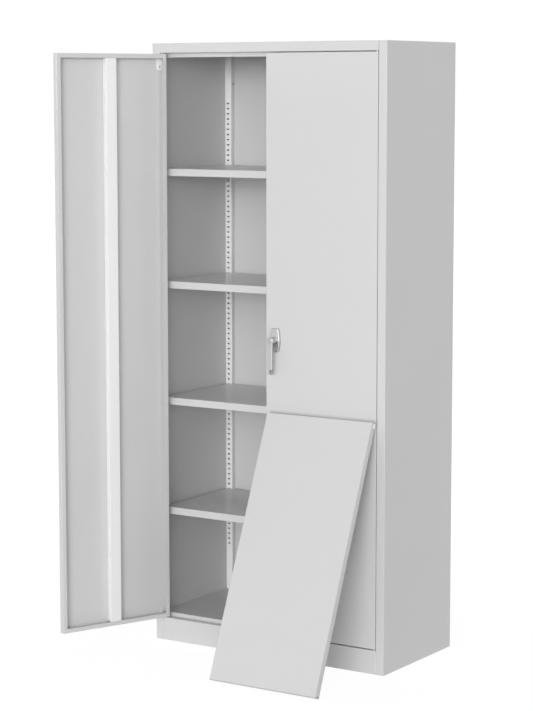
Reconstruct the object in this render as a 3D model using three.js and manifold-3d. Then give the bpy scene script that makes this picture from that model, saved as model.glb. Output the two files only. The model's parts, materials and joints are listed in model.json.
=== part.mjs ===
// Steel storage cabinet: two hinged doors, height-adjustable shelves on slotted uprights and a
// swing handle that drives a three-point lock. One spare shelf leans on the closed right door.
// Millimetres, +Z up. X runs across the front, Y from the front plane to the back. The origin is on
// the floor, in the middle of the front plane.
import * as THREE from "three";
import { mergeGeometries, mergeVertices } from "three/addons/utils/BufferGeometryUtils.js";
import Module from "manifold-3d";

// Carcass
const cabinetHeight = 1800;
const cabinetWidth = 800;
const cabinetDepth = 400;
const sheet = 0.8;
const bendRadius = 1.2;
const gap = 0.3;
const overrun = 2;
const columnFace = 26.5;
const columnReturn = 18;
const rearFold = 15;
const footFold = 15;
const headerHeight = 28;
const stopSetback = 22;
const stopHeight = 13;
const edgeFlange = 20;
const baseHeight = 70;
const baseLedge = 40;
const floorTop = 82;

// Slotted uprights
const uprightSheet = 1.2;
const uprightWidth = 22.5;
const uprightFlange = 17.8;
const frontUprightFace = 26.7;
const slotWidth = 8.5;
const slotHeight = 4.2;
const slotPitch = 16;
const lowestSlot = 229.5;
const ladderTopMargin = 178;

// Shelves and their clips
const shelfSideGap = 5.9;
const shelfHeight = 22;
const shelfLip = 12;
const shelfSeatShares = [0.83, 0.59, 0.34, 0.1];
const clipSheet = 1.5;
const clipWidth = 12;
const clipLedge = 14;
const clipRise = 11.2;
const clipTail = 4;
const hookWidth = 6.5;
const hookDrop = 5;
const spareShelfInset = 0.8;
const spareShelfLean = THREE.MathUtils.degToRad(22.7);

// Doors
const doorDepth = 20;
const doorLip = 13;
const doorSideGap = 2;
const doorEndGap = 3;
const leftDoorOpening = THREE.MathUtils.degToRad(112);
const stiffenerWidth = 36;
const stiffenerReturn = 8;
const stiffenerOffset = 4;

// Door hinges
const hingeInset = 4.5;
const hingeSetback = 4.2;
const pinRadius = 2;
const pinCollarRadius = 3.3;
const pinCollarHeight = 2.2;
const pinReach = 8;
const bracketSheet = 2.5;
const bracketWidth = 17;
const bracketDepth = 12;
const bracketStrapInset = 5.5;
const upperStrapLength = 47;
const lowerStrapLength = 24;
const strapHoleRadius = 2.5;
const strapHoleInset = 10.5;

// Swing handle
const handleInset = 33.5;
const handleHeight = 944.5;
const plateHeight = 69;
const plateEndWidth = 22;
const plateMiddleWidth = 34;
const plateThickness = 9;
const plateRounding = 2.5;
const collarRadius = 9.5;
const collarHeight = 3;
const scoopDepth = 5.5;
const scoopWidth = 19;
const scoopRim = 3;
const scoopRadius = 4;
const leverFront = 34;
const leverThickness = 7;
const leverReach = 95.5;
const leverWidth = 15;
const leverEndWidth = 13;
const leverCurl = 13;
const leverBossRadius = 10.5;
const plugRadius = 5.7;
const plugLength = 8;
const plugProud = 0.4;
const keywayWidth = 1.6;
const keywayLength = 7;
const keywayDepth = 3;

// Lock works inside the right door
const spindleSize = 8;
const spindleSocket = 12;
const spindleTail = 2;
const camSheet = 2;
const camRadius = 28;
const camPinNear = 11;
const camThrow = 12;
const tongueLength = 46;
const tongueWidth = 16;
const rodRadius = 4;
const rodSetback = 12;
const rodProud = 1;
const rodTaper = 3;
const rodPinRadius = 2.5;
const guideSheet = 1.5;
const guideWidth = 20;
const guideFoot = 16;
const guideSpacing = 300;

// How finely round shapes are cut
const bendSteps = 2;
const smallRoundSteps = 12;
const roundSteps = 24;
const smallRoundLimit = 5;
const curveSteps = 6;
const rimSteps = 4;
const spiralSteps = 10;

// Places that several pieces share
const halfSheet = sheet / 2;
const sideInner = cabinetWidth / 2 - sheet - gap;
const columnInner = cabinetWidth / 2 - columnFace;
const bayHalf = columnInner - gap;
const backPanelFront = cabinetDepth - 2 * sheet - gap;
const pansBack = backPanelFront - gap;
const rearUprightFace = pansBack - uprightFlange;
const rearBayHalf = sideInner - uprightWidth - gap;
const underTopSheet = cabinetHeight - sheet - gap;
const headerBottom = cabinetHeight - headerHeight;
const shelfFront = frontUprightFace + gap;
const shelfBack = rearUprightFace - gap;
const shelfWidth = 2 * (sideInner - shelfSideGap);
const ladderLength = cabinetHeight - ladderTopMargin - lowestSlot;
const slotCount = Math.floor(ladderLength / slotPitch) + 1;
const shelfSeatSlots = shelfSeatShares.map((share) => Math.round(share * slotCount));
const doorEdge = columnInner - doorSideGap;
const doorWidth = doorEdge - doorSideGap / 2;
const doorBottom = baseHeight + doorEndGap;
const doorTop = headerBottom - doorEndGap;
const doorHeight = doorTop - doorBottom;
const hingeX = doorEdge - hingeInset;
const handleX = doorSideGap / 2 + handleInset;
const camFront = doorDepth + gap;

const wasm = await Module();
wasm.setup();

const axisX = new THREE.Vector3(1, 0, 0);
const axisY = new THREE.Vector3(0, 1, 0);
const axisZ = new THREE.Vector3(0, 0, 1);
const profileFrames = {
  x: [axisY, axisZ, axisX],
  y: [axisX, axisZ, axisY.clone().negate()],
  z: [axisX, axisY, axisZ],
};

// A closed geometry as a solid that can be joined and cut
function solidFrom(geometry) {
  const bare = geometry.clone();
  bare.deleteAttribute("normal");
  bare.deleteAttribute("uv");
  const merged = mergeVertices(bare);
  return new wasm.Manifold(new wasm.Mesh({
    numProp: 3,
    vertProperties: Float32Array.from(merged.attributes.position.array),
    triVerts: Uint32Array.from(merged.index.array),
  }));
}

// A solid as a geometry
function geometryFrom(solid) {
  const result = solid.getMesh();
  const geometry = new THREE.BufferGeometry();
  geometry.setAttribute("position", new THREE.BufferAttribute(result.vertProperties, 3));
  geometry.setIndex(new THREE.BufferAttribute(result.triVerts, 1));
  geometry.computeVertexNormals();
  return geometry;
}

function join(...geometries) {
  return geometryFrom(geometries.map(solidFrom).reduce((whole, piece) => whole.add(piece)));
}

function cut(geometry, ...cutters) {
  const whole = solidFrom(geometry);
  return geometryFrom(cutters.map(solidFrom).reduce((rest, tool) => rest.subtract(tool), whole));
}

function common(first, second) {
  return geometryFrom(solidFrom(first).intersect(solidFrom(second)));
}

// A flat shape carried along one axis, from one place to another
function prism(shape, axis, from, to, options = {}) {
  const settings = { depth: to - from, bevelEnabled: false, curveSegments: curveSteps, ...options };
  const geometry = new THREE.ExtrudeGeometry(shape, settings);
  const [first, second, along] = profileFrames[axis];
  geometry.applyMatrix4(new THREE.Matrix4().makeBasis(first, second, along));
  const start = axis === "y" ? -to : from;
  geometry.translate(along.x * start, along.y * start, along.z * start);
  return geometry;
}

function block(x0, x1, y0, y1, z0, z1) {
  const geometry = new THREE.BoxGeometry(x1 - x0, y1 - y0, z1 - z0);
  geometry.translate((x0 + x1) / 2, (y0 + y1) / 2, (z0 + z1) / 2);
  return geometry;
}

function discShape(radius, x = 0, y = 0) {
  const shape = new THREE.Shape();
  shape.absarc(x, y, radius, 0, 2 * Math.PI, false);
  return shape;
}

function roundBar(axis, radius, from, to, first = 0, second = 0) {
  const steps = radius < smallRoundLimit ? smallRoundSteps : roundSteps;
  return prism(discShape(radius, first, second), axis, from, to, { curveSegments: steps / 2 });
}

function roundedRectangle(x0, x1, y0, y1, radius) {
  const shape = new THREE.Shape();
  const quarter = Math.PI / 2;
  shape.absarc(x1 - radius, y1 - radius, radius, 0, quarter, false);
  shape.absarc(x0 + radius, y1 - radius, radius, quarter, 2 * quarter, false);
  shape.absarc(x0 + radius, y0 + radius, radius, 2 * quarter, 3 * quarter, false);
  shape.absarc(x1 - radius, y0 + radius, radius, 3 * quarter, 4 * quarter, false);
  return shape;
}

function leftOf(direction) {
  return new THREE.Vector2(-direction.y, direction.x);
}

// Centre line of a folded sheet, with a round bend at each inner point: places and directions
function bentLine(path, radius) {
  const corners = path.map(([x, y]) => new THREE.Vector2(x, y));
  const line = [];
  corners.forEach((corner, index) => {
    const before = corners[index - 1];
    const after = corners[index + 1];
    const arriving = before ? corner.clone().sub(before).normalize() : after.clone().sub(corner).normalize();
    const leaving = after ? after.clone().sub(corner).normalize() : arriving;
    const turn = Math.atan2(arriving.cross(leaving), arriving.dot(leaving));
    if (turn === 0) {
      line.push({ place: corner, direction: arriving });
      return;
    }
    const reach = Math.sign(turn) * radius;
    const setback = Math.abs(reach * Math.tan(turn / 2));
    const bendStart = corner.clone().addScaledVector(arriving, -setback);
    const centre = bendStart.addScaledVector(leftOf(arriving), reach);
    for (let step = 0; step <= bendSteps; step += 1) {
      const direction = arriving.clone().rotateAround(new THREE.Vector2(), turn * step / bendSteps);
      line.push({ place: centre.clone().addScaledVector(leftOf(direction), -reach), direction });
    }
  });
  return line;
}

function besideLine(line, distance) {
  return line.map(({ place, direction }) => place.clone().addScaledVector(leftOf(direction), distance));
}

// Section of a folded sheet of even thickness
function foldedShape(path, thickness, radius = bendRadius) {
  const line = bentLine(path, radius);
  const left = besideLine(line, thickness / 2);
  const right = besideLine(line, -thickness / 2);
  return new THREE.Shape([...left, ...right.reverse()]);
}

// Sheet pan with four flanges and return lips, mitred at its corners. Its outer face lies in the
// plane z = 0 and its lips face +z.
function foldedPan(width, length, depth, lip) {
  const path = [
    [lip, depth - halfSheet],
    [halfSheet, depth - halfSheet],
    [halfSheet, halfSheet],
    [lip, halfSheet],
  ];
  const line = bentLine(path, bendRadius);
  const inside = besideLine(line, halfSheet);
  const outside = besideLine(line, -halfSheet);
  const rings = [...outside.reverse(), ...inside];
  const positions = [];
  const triangles = [];
  rings.forEach(({ x: inset, y: height }, index) => {
    const halfAcross = width / 2 - inset;
    const halfAlong = length / 2 - inset;
    positions.push(-halfAcross, -halfAlong, height, halfAcross, -halfAlong, height);
    positions.push(halfAcross, halfAlong, height, -halfAcross, halfAlong, height);
    if (index === 0) {
      return;
    }
    const ring = 4 * index;
    for (let corner = 0; corner < 4; corner += 1) {
      const next = (corner + 1) % 4;
      triangles.push(ring - 4 + corner, ring - 4 + next, ring + next);
      triangles.push(ring - 4 + corner, ring + next, ring + corner);
    }
  });
  const last = 4 * (rings.length - 1);
  triangles.push(0, 3, 2, 0, 2, 1);
  triangles.push(last, last + 1, last + 2, last, last + 2, last + 3);
  const geometry = new THREE.BufferGeometry();
  geometry.setAttribute("position", new THREE.Float32BufferAttribute(positions, 3));
  geometry.setIndex(triangles);
  geometry.computeVertexNormals();
  return geometry;
}

// Finishes
const finishes = {
  greyPowderCoat: { color: 0xd6d7d8, roughness: 0.5, metalness: 0 },
  whitePaint: { color: 0xeeeff0, roughness: 0.45, metalness: 0 },
  polishedChrome: { color: 0xd3d5d7, roughness: 0.18, metalness: 1 },
  zincSteel: { color: 0xa9adb0, roughness: 0.38, metalness: 1 },
};

function piece(name, geometry, finish) {
  const mesh = new THREE.Mesh(geometry, new THREE.MeshStandardMaterial(finishes[finish]));
  mesh.name = name;
  return mesh;
}

// Side panel: outer wall, column face and return at the front, fold at the back, fold at the foot
function sidePanel(name, side) {
  const wallLine = side * (cabinetWidth / 2 - halfSheet);
  const returnLine = side * (columnInner + halfSheet);
  const foldLine = side * (cabinetWidth / 2 - rearFold);
  const wall = prism(foldedShape([
    [returnLine, columnReturn],
    [returnLine, halfSheet],
    [wallLine, halfSheet],
    [wallLine, cabinetDepth - halfSheet],
    [foldLine, cabinetDepth - halfSheet],
  ], sheet), "z", 0, cabinetHeight);
  const foot = prism(foldedShape([
    [wallLine, footFold],
    [wallLine, halfSheet],
    [side * (cabinetWidth / 2 - footFold), halfSheet],
  ], sheet), "y", shelfFront, shelfBack);
  const across = [side * (columnInner - overrun), side * (cabinetWidth / 2 - sheet)].sort((a, b) => a - b);
  const behind = columnReturn + overrun;
  const roomForTopSheet = block(...across, sheet, behind, underTopSheet, cabinetHeight + overrun);
  return piece(name, cut(join(wall, foot), roomForTopSheet), "greyPowderCoat");
}

// A pair of flanges along both side walls, folded from a sheet at one height
function sideFlanges(sheetLine) {
  const flangeLine = sideInner - halfSheet;
  return prism(foldedShape([
    [-flangeLine, sheetLine - edgeFlange],
    [-flangeLine, sheetLine],
    [flangeLine, sheetLine],
    [flangeLine, sheetLine - edgeFlange],
  ], sheet), "y", shelfFront, shelfBack);
}

// Blocks that take a pan's corners away where the columns and uprights stand
function cornerNotches(bottom, top) {
  return [-1, 1].flatMap((side) => {
    const front = [side * bayHalf, side * (sideInner + overrun)].sort((a, b) => a - b);
    const rear = [side * rearBayHalf, side * (sideInner + overrun)].sort((a, b) => a - b);
    return [
      block(...front, -overrun, shelfFront, bottom, top),
      block(...rear, shelfBack, cabinetDepth, bottom, top),
    ];
  });
}

// Holes in the header and the base ledge for the hinge pins and the lock rods
function lockAndPinHoles(bottom, top) {
  return [
    roundBar("z", pinRadius + gap, bottom, top, -hingeX, hingeSetback),
    roundBar("z", pinRadius + gap, bottom, top, hingeX, hingeSetback),
    roundBar("z", rodRadius + 2 * gap, bottom, top, handleX, rodSetback),
  ];
}

// Top panel with the header box and the hanging door stop folded from its front edge
function topPanel() {
  const topLine = cabinetHeight - halfSheet;
  const strip = prism(foldedShape([
    [pansBack - halfSheet, topLine - edgeFlange],
    [pansBack - halfSheet, topLine],
    [halfSheet, topLine],
    [halfSheet, headerBottom + halfSheet],
    [stopSetback + halfSheet, headerBottom + halfSheet],
    [stopSetback + halfSheet, headerBottom - stopHeight],
  ], sheet), "x", -sideInner, sideInner);
  const columnRoom = [-1, 1].map((side) => {
    const across = [side * bayHalf, side * (sideInner + overrun)].sort((a, b) => a - b);
    return block(...across, -overrun, sheet + gap, headerBottom - stopHeight, cabinetHeight + overrun);
  });
  const notches = cornerNotches(headerBottom - stopHeight - overrun, underTopSheet);
  const holes = lockAndPinHoles(headerBottom - overrun, headerBottom + sheet + overrun);
  const folded = join(strip, sideFlanges(topLine));
  return piece("top_panel", cut(folded, ...notches, ...columnRoom, ...holes), "greyPowderCoat");
}

// Plinth at the front, with the ledge that carries the floor pan and the lower hinge pins
function baseRail() {
  const rail = prism(foldedShape([
    [footFold, halfSheet],
    [halfSheet, halfSheet],
    [halfSheet, baseHeight - halfSheet],
    [baseLedge - halfSheet, baseHeight - halfSheet],
    [baseLedge - halfSheet, baseHeight - edgeFlange],
  ], sheet), "x", -bayHalf, bayHalf);
  const holes = lockAndPinHoles(baseHeight - sheet - overrun, baseHeight + overrun);
  return piece("base_rail", cut(rail, ...holes), "greyPowderCoat");
}

// Floor of the lowest compartment; its front flange is the lower door stop
function floorPan() {
  const floorLine = floorTop - halfSheet;
  const strip = prism(foldedShape([
    [stopSetback + halfSheet, baseHeight + gap],
    [stopSetback + halfSheet, floorLine],
    [pansBack - halfSheet, floorLine],
    [pansBack - halfSheet, floorLine - edgeFlange],
  ], sheet), "x", -sideInner, sideInner);
  const notches = cornerNotches(floorTop - 2 * edgeFlange, floorTop + overrun);
  return piece("floor_pan", cut(join(strip, sideFlanges(floorLine)), ...notches), "greyPowderCoat");
}

function backPanel() {
  const panel = block(-sideInner, sideInner, backPanelFront, backPanelFront + sheet, 0, cabinetHeight);
  return piece("back_panel", panel, "greyPowderCoat");
}

function slotAt(number) {
  return lowestSlot + number * slotPitch;
}

// Channel with a ladder of slots for the shelf clips. Front channels face back, rear ones forward.
function upright(name, side, isFront) {
  const face = isFront ? frontUprightFace : rearUprightFace;
  const inward = isFront ? -1 : 1;
  const webLine = face + inward * uprightSheet / 2;
  const flangeEnd = face + inward * uprightFlange;
  const innerEdge = isFront ? columnInner + sheet + gap : sideInner - uprightWidth;
  const outerLine = side * (sideInner - uprightSheet / 2);
  const innerLine = side * (innerEdge + uprightSheet / 2);
  const channel = prism(foldedShape([
    [outerLine, flangeEnd],
    [outerLine, webLine],
    [innerLine, webLine],
    [innerLine, flangeEnd],
  ], uprightSheet), "z", 0, underTopSheet);
  const slotCentre = side * (sideInner - uprightWidth / 2);
  const slots = Array.from({ length: slotCount }, (_, number) => block(
    slotCentre - slotWidth / 2,
    slotCentre + slotWidth / 2,
    webLine - uprightSheet,
    webLine + uprightSheet,
    slotAt(number) - slotHeight / 2,
    slotAt(number) + slotHeight / 2,
  ));
  return piece(name, cut(channel, mergeGeometries(slots)), "whitePaint");
}

// Shelf pan with its face up, in the plane z = 0
function shelf(name) {
  const pan = foldedPan(shelfWidth, shelfBack - shelfFront, shelfHeight, shelfLip);
  const faceUp = new THREE.Matrix4().makeBasis(axisX, axisY.clone().negate(), axisZ.clone().negate());
  pan.applyMatrix4(faceUp);
  return piece(name, pan, "greyPowderCoat");
}

function shelfTopAt(seatSlot) {
  return slotAt(seatSlot) + clipRise + gap + shelfHeight;
}

// Clip hooked into two slots, with the ledge that a shelf's lip rests on. It stands in front of an
// upright's face, which is the plane y = 0, with its upper slot's centre at z = 0.
function shelfClip(name) {
  const plateLine = -gap - clipSheet / 2;
  const hookLine = gap - slotHeight / 2 + clipSheet / 2;
  const tipLine = uprightSheet + gap + clipSheet / 2;
  const body = prism(foldedShape([
    [-gap - clipLedge, clipRise - clipSheet / 2],
    [plateLine, clipRise - clipSheet / 2],
    [plateLine, -slotPitch - clipTail],
  ], clipSheet), "x", -clipWidth / 2, clipWidth / 2);
  const hooks = [0, -slotPitch].map((slot) => prism(foldedShape([
    [plateLine, slot + hookLine],
    [tipLine, slot + hookLine],
    [tipLine, slot - hookDrop],
  ], clipSheet), "x", -hookWidth / 2, hookWidth / 2));
  return piece(name, join(body, ...hooks), "zincSteel");
}

// The spare shelf stands on its short end and leans with its lips against the right door
function spareShelf() {
  const mesh = shelf("spare_shelf");
  const rise = new THREE.Vector3(0, Math.sin(spareShelfLean), Math.cos(spareShelfLean));
  const outward = new THREE.Vector3(0, -Math.cos(spareShelfLean), Math.sin(spareShelfLean));
  mesh.setRotationFromMatrix(new THREE.Matrix4().makeBasis(rise, axisX.clone().negate(), outward));
  const shelfDepth = shelfBack - shelfFront;
  const lowEdge = new THREE.Vector3(
    doorEdge - spareShelfInset - shelfDepth / 2,
    -gap - shelfWidth * rise.y - shelfHeight * rise.z,
    gap + shelfHeight * rise.y,
  );
  mesh.position.copy(lowEdge).addScaledVector(rise, shelfWidth / 2);
  return mesh;
}

// Doors. Each is drawn about its hinge axis, closed; inward is the direction from the hinge to the
// door's free edge: 1 for the left door and -1 for the right door.
function doorPan(name, inward, holes) {
  const pan = foldedPan(doorWidth, doorHeight, doorDepth, doorLip);
  pan.applyMatrix4(new THREE.Matrix4().makeBasis(axisX.clone().negate(), axisZ, axisY));
  pan.translate(inward * (doorWidth / 2 - hingeInset), -hingeSetback, (doorBottom + doorTop) / 2);
  const pinHole = roundBar("z", pinRadius + gap, doorBottom - overrun, doorTop + overrun);
  return piece(name, cut(pan, pinHole, ...holes), "greyPowderCoat");
}

// Channel down a door's back, flush with the lips and a little nearer to the free edge
function doorStiffener(name, inward) {
  const middle = inward * (doorWidth / 2 - hingeInset + stiffenerOffset);
  const skin = sheet - hingeSetback;
  const wallLine = stiffenerWidth / 2 - halfSheet;
  const returnEnd = stiffenerWidth / 2 - stiffenerReturn;
  const webLine = doorDepth - hingeSetback - halfSheet;
  const channel = prism(foldedShape([
    [middle - returnEnd, skin + gap + halfSheet],
    [middle - wallLine, skin + gap + halfSheet],
    [middle - wallLine, webLine],
    [middle + wallLine, webLine],
    [middle + wallLine, skin + gap + halfSheet],
    [middle + returnEnd, skin + gap + halfSheet],
  ], sheet), "z", doorBottom + doorLip + gap, doorTop - doorLip - gap);
  return piece(name, channel, "whitePaint");
}

// Pivot bracket: a leg under the door's end flange holds the pin, a strap lies on the skin.
// upward is 1 at the top of the door and -1 at its bottom.
function hingeBracket(name, inward, upward, strapLength, finish) {
  const endFlange = upward > 0 ? doorTop - sheet - gap : doorBottom + sheet + gap;
  const skin = sheet + gap - hingeSetback;
  const near = inward * (sheet + gap - hingeInset);
  const strapNear = inward * (bracketStrapInset - hingeInset);
  const strapFar = strapNear + inward * bracketWidth;
  const legEnds = [endFlange, endFlange - upward * bracketSheet].sort((a, b) => a - b);
  const across = [near, strapFar].sort((a, b) => a - b);
  const leg = block(...across, skin, skin + bracketDepth, ...legEnds);
  const middle = (strapNear + strapFar) / 2;
  const endRadius = bracketWidth / 2;
  const tip = endFlange - upward * (strapLength - endRadius);
  const strap = new THREE.Shape();
  strap.moveTo(middle - endRadius, endFlange);
  strap.lineTo(middle - endRadius, tip);
  strap.absarc(middle, tip, endRadius, Math.PI, 2 * Math.PI, upward < 0);
  strap.lineTo(middle + endRadius, endFlange);
  strap.closePath();
  strap.holes.push(discShape(strapHoleRadius, middle, tip + upward * (strapHoleInset - endRadius)));
  const plate = prism(strap, "y", skin, skin + bracketSheet);
  const legInner = endFlange - upward * bracketSheet;
  const headEnd = legInner - upward * (pinCollarHeight + 2 * gap);
  const holeEnds = [endFlange + upward * overrun, legInner - upward * gap].sort((a, b) => a - b);
  const headEnds = [legInner, headEnd].sort((a, b) => a - b);
  const pinHole = roundBar("z", pinRadius + gap, ...holeEnds);
  const headRoom = roundBar("z", pinCollarRadius + gap, ...headEnds);
  return piece(name, cut(join(leg, plate), pinHole, headRoom), finish);
}

// Round body with straight steps, turned about z; each row is a height and a radius
function turned(rows, steps) {
  const points = [[rows[0][0], 0], ...rows, [rows.at(-1)[0], 0]];
  return new THREE.LatheGeometry(points.map(([z, radius]) => new THREE.Vector2(radius, z)), steps)
    .applyMatrix4(new THREE.Matrix4().makeBasis(axisX, axisZ, axisY.clone().negate()));
}

// Hinge pin: its head stays inside the bracket and its end runs in the header or the base ledge. The
// lower pin's collar carries the door on the ledge.
function hingePin(name, upward) {
  const flange = upward > 0 ? doorTop : doorBottom;
  const ledge = upward > 0 ? headerBottom : baseHeight;
  const legInner = flange - upward * (sheet + gap + bracketSheet);
  const headInner = legInner - upward * (gap + pinCollarHeight);
  const end = ledge + upward * pinReach;
  const collar = [
    [flange + upward * gap, pinRadius],
    [flange + upward * gap, pinCollarRadius],
    [ledge - upward * gap, pinCollarRadius],
    [ledge - upward * gap, pinRadius],
  ];
  const rows = [
    [headInner, pinCollarRadius],
    [legInner - upward * gap, pinCollarRadius],
    [legInner - upward * gap, pinRadius],
    ...(upward < 0 ? collar : []),
    [end - upward * pinRadius / 2, pinRadius],
    [end, pinRadius / 2],
  ];
  return piece(name, turned(upward > 0 ? rows : rows.reverse(), smallRoundSteps), "zincSteel");
}

// Escutcheon plate, narrower at its ends, with a rounded rim and a finger scoop below the lever's boss
function handlePlate() {
  const halfEnd = plateEndWidth / 2;
  const bow = plateMiddleWidth - halfEnd;
  const half = plateHeight / 2;
  const outline = new THREE.Shape();
  outline.moveTo(-halfEnd, half);
  outline.quadraticCurveTo(-bow, 0, -halfEnd, -half);
  outline.lineTo(halfEnd, -half);
  outline.quadraticCurveTo(bow, 0, halfEnd, half);
  outline.closePath();
  const rim = {
    bevelEnabled: true,
    bevelThickness: plateRounding,
    bevelSize: plateRounding,
    bevelOffset: -plateRounding,
    bevelSegments: rimSteps,
  };
  const dome = prism(outline, "y", plateRounding - plateThickness - gap, 0, rim);
  const collar = roundBar("y", collarRadius, -plateThickness - gap - collarHeight, -plateThickness / 2);
  const behind = block(-bow, bow, -gap, plateRounding + overrun, -plateHeight, plateHeight);
  const scoopTop = -collarRadius - gap;
  const scoopHalf = scoopWidth / 2;
  const scoopOutline = roundedRectangle(-scoopHalf, scoopHalf, scoopRim - half, scoopTop, scoopRadius);
  const scoop = prism(scoopOutline, "y", -plateThickness - overrun, scoopDepth - plateThickness - gap);
  const spindleHole = roundBar("y", spindleSize * Math.SQRT1_2 + 2 * gap, -leverFront, overrun);
  return piece("handle_plate", cut(join(dome, collar), behind, scoop, spindleHole), "polishedChrome");
}

// Lever: a round boss with an arm that hangs down and curls towards the door at its end
function handleLever() {
  const back = -leverFront + leverThickness;
  const curlTop = leverCurl - leverReach;
  const bossBack = -plateThickness - collarHeight - 2 * gap;
  const side = new THREE.Shape();
  side.moveTo(-leverFront, 0);
  side.lineTo(-leverFront, curlTop);
  side.quadraticCurveTo(-leverFront, -leverReach, -leverFront + leverCurl, -leverReach);
  side.lineTo(back + leverCurl / 2, leverThickness - leverReach);
  side.quadraticCurveTo(back, leverThickness - leverReach, back, curlTop);
  side.lineTo(back, 0);
  side.closePath();
  const endRadius = leverEndWidth / 2;
  const front = new THREE.Shape();
  front.moveTo(-leverWidth / 2, overrun);
  front.lineTo(-endRadius, endRadius - leverReach);
  front.absarc(0, endRadius - leverReach, endRadius, Math.PI, 2 * Math.PI, false);
  front.lineTo(leverWidth / 2, overrun);
  front.closePath();
  const arm = common(
    prism(side, "x", -leverWidth, leverWidth),
    prism(front, "y", -leverFront - overrun, 0),
  );
  const chamfer = gap + overrun / 2;
  const boss = turned([
    [bossBack, leverBossRadius],
    [-leverFront + chamfer, leverBossRadius],
    [-leverFront, leverBossRadius - chamfer],
  ].map(([y, radius]) => [-y, radius]), roundSteps);
  boss.rotateX(Math.PI / 2);
  const plugBore = roundBar("y", plugRadius + gap, -leverFront - overrun, plugLength + gap - leverFront);
  const halfSocket = spindleSize / 2 + gap;
  const socketEnd = bossBack - spindleSocket;
  const socket = block(-halfSocket, halfSocket, socketEnd, bossBack + overrun, -halfSocket, halfSocket);
  return piece("handle_lever", cut(join(boss, arm), plugBore, socket), "polishedChrome");
}

// Key plug with a keyway in its face
function keyPlug() {
  const face = -leverFront - plugProud;
  const plug = roundBar("y", plugRadius, face, plugLength - leverFront);
  const halfWidth = keywayWidth / 2;
  const halfLength = keywayLength / 2;
  const keyway = block(-halfWidth, halfWidth, face - overrun, face + keywayDepth, -halfLength, halfLength);
  return piece("key_plug", cut(plug, keyway), "zincSteel");
}

// Square spindle from the lever's boss through the plate and the door to the cam
function lockSpindle() {
  const half = spindleSize / 2;
  const start = -plateThickness - collarHeight - spindleSocket - gap;
  const bar = block(-half, half, start, camFront + camSheet + spindleTail, -half, half);
  return piece("lock_spindle", bar, "zincSteel");
}

// Spiral slot of the cam: as the cam turns a quarter, the rod pin in it moves out by camThrow
function spiralSlot(startAngle) {
  const growth = camThrow / (Math.PI / 2);
  const line = Array.from({ length: spiralSteps + 1 }, (_, step) => {
    const turn = step / spiralSteps * Math.PI / 2;
    const angle = startAngle - turn;
    const radial = new THREE.Vector2(Math.cos(angle), Math.sin(angle));
    const distance = camPinNear + growth * turn;
    const place = radial.clone().multiplyScalar(distance);
    const direction = radial.clone().multiplyScalar(growth).addScaledVector(leftOf(radial), -distance);
    return { place, direction: direction.normalize() };
  });
  const half = rodPinRadius + gap;
  const roundEnd = ({ place, direction }, turnSign) => Array.from({ length: rimSteps }, (_, step) => {
    const angle = (step + 1) / (rimSteps + 1) * Math.PI;
    const spoke = leftOf(direction).multiplyScalar(turnSign).rotateAround(new THREE.Vector2(), -angle);
    return place.clone().addScaledVector(spoke, half);
  });
  const left = besideLine(line, half);
  const right = besideLine(line, -half);
  const far = roundEnd(line.at(-1), 1);
  const near = roundEnd(line[0], -1);
  return new THREE.Path([...left, ...far, ...right.reverse(), ...near]);
}

// Cam plate: two spiral slots drive the rods, and the tongue turns behind the left door's lip
function lockCam() {
  const halfTongue = tongueWidth / 2;
  const spread = Math.asin(halfTongue / camRadius);
  const outline = new THREE.Shape();
  outline.absarc(0, 0, camRadius, Math.PI / 2 + spread, 2.5 * Math.PI - spread, false);
  outline.absarc(0, tongueLength - halfTongue, halfTongue, 0, Math.PI, false);
  outline.closePath();
  const halfSquare = spindleSize / 2 + gap;
  outline.holes.push(
    spiralSlot(Math.PI / 2),
    spiralSlot(-Math.PI / 2),
    new THREE.Path([
      new THREE.Vector2(-halfSquare, -halfSquare),
      new THREE.Vector2(halfSquare, -halfSquare),
      new THREE.Vector2(halfSquare, halfSquare),
      new THREE.Vector2(-halfSquare, halfSquare),
    ]),
  );
  return piece("lock_cam", prism(outline, "y", camFront, camFront + camSheet), "zincSteel");
}

// Lock rod along z from the cam to just outside the door's end, with the pin that follows a cam slot.
// upward is 1 for the upper rod and -1 for the lower one.
function lockRod(name, upward) {
  const end = upward > 0 ? doorTop + rodProud - handleHeight : handleHeight - doorBottom + rodProud;
  const start = camPinNear - rodRadius;
  const bar = turned([
    [start, rodRadius],
    [end - rodTaper, rodRadius],
    [end, rodRadius - rodTaper / 2],
  ], smallRoundSteps);
  const pin = roundBar("y", rodPinRadius, 0, camFront + camSheet + gap - rodSetback, 0, camPinNear);
  const rod = join(bar, pin);
  if (upward < 0) {
    rod.rotateY(Math.PI);
  }
  rod.translate(0, rodSetback, 0);
  return piece(name, rod, "zincSteel");
}

// Guide bracket: a foot on the door's skin and a leg that the rod slides through
function rodGuide(name, upward) {
  const footLine = sheet + gap + guideSheet / 2;
  const place = upward * guideSpacing;
  const bracket = prism(foldedShape([
    [footLine, place - upward * guideFoot],
    [footLine, place],
    [rodSetback + rodRadius + guideSheet, place],
  ], guideSheet), "x", -guideWidth / 2, guideWidth / 2);
  const hole = roundBar("z", rodRadius + gap, place - guideSheet, place + guideSheet, 0, rodSetback);
  return piece(name, cut(bracket, hole), "zincSteel");
}

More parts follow.
